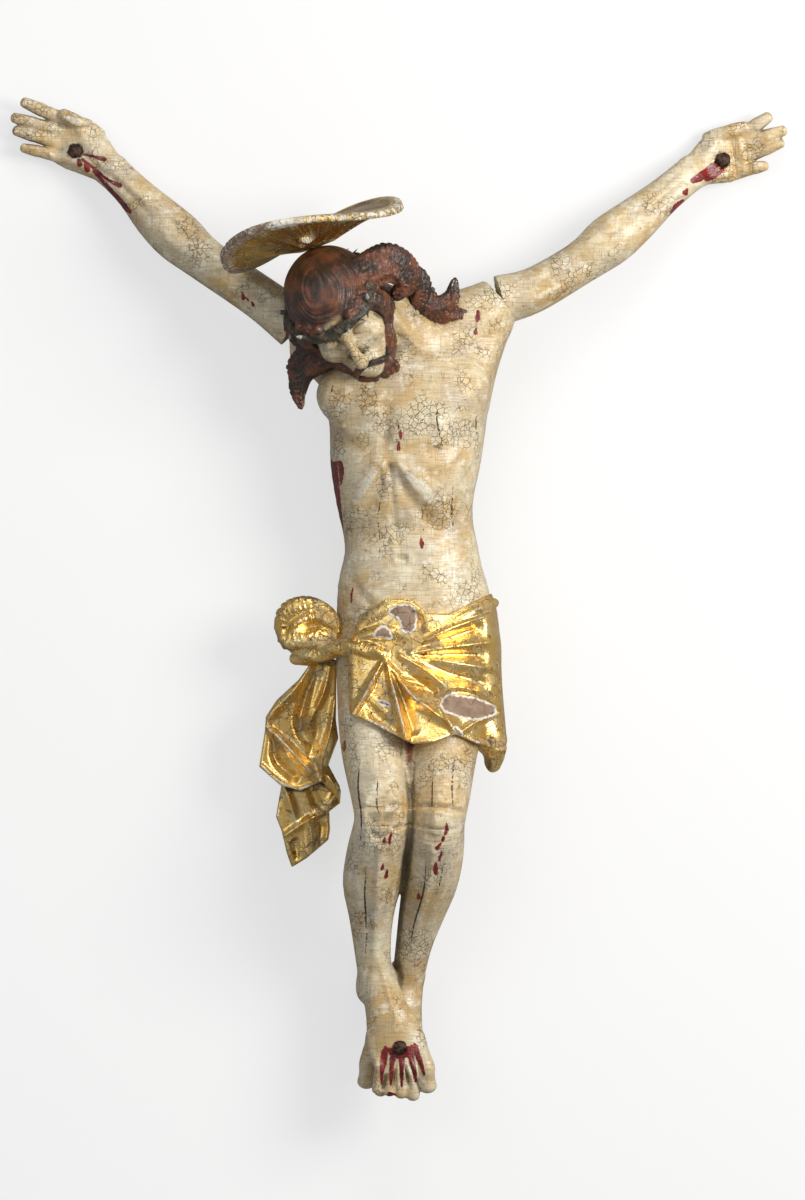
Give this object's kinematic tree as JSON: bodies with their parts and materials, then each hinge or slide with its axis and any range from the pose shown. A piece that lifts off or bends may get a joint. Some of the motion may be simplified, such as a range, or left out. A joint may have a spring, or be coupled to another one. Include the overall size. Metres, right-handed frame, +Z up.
{
  "type": "carved wooden crucifix figure without its cross",
  "caption": "Aged carved and painted wooden corpus with raised arms, bowed head, gilded loincloth and a warped gilded halo, lying on its back.",
  "frame": {"origin": "centre of the bounding box on the surface that the figure lies on", "axes": "+X towards the figure's own left hand, +Y past its head, +Z up from its chest as it lies on its back"},
  "size_m": [0.467, 0.6024, 0.1316],
  "materials": {
    "painted_wood": "aged cream paint, varnished, with gilding on the cloth",
    "gilded_wood": "worn gilding over white ground",
    "forged_iron": "dark forged iron"
  },
  "bodies": {
    "root": {"figure": "painted_wood", "right_arm": "painted_wood", "left_arm": "painted_wood", "halo": "gilded_wood", "nail_right_hand": "forged_iron", "nail_left_hand": "forged_iron", "nail_feet": "forged_iron"}
  },
  "joints": []
}
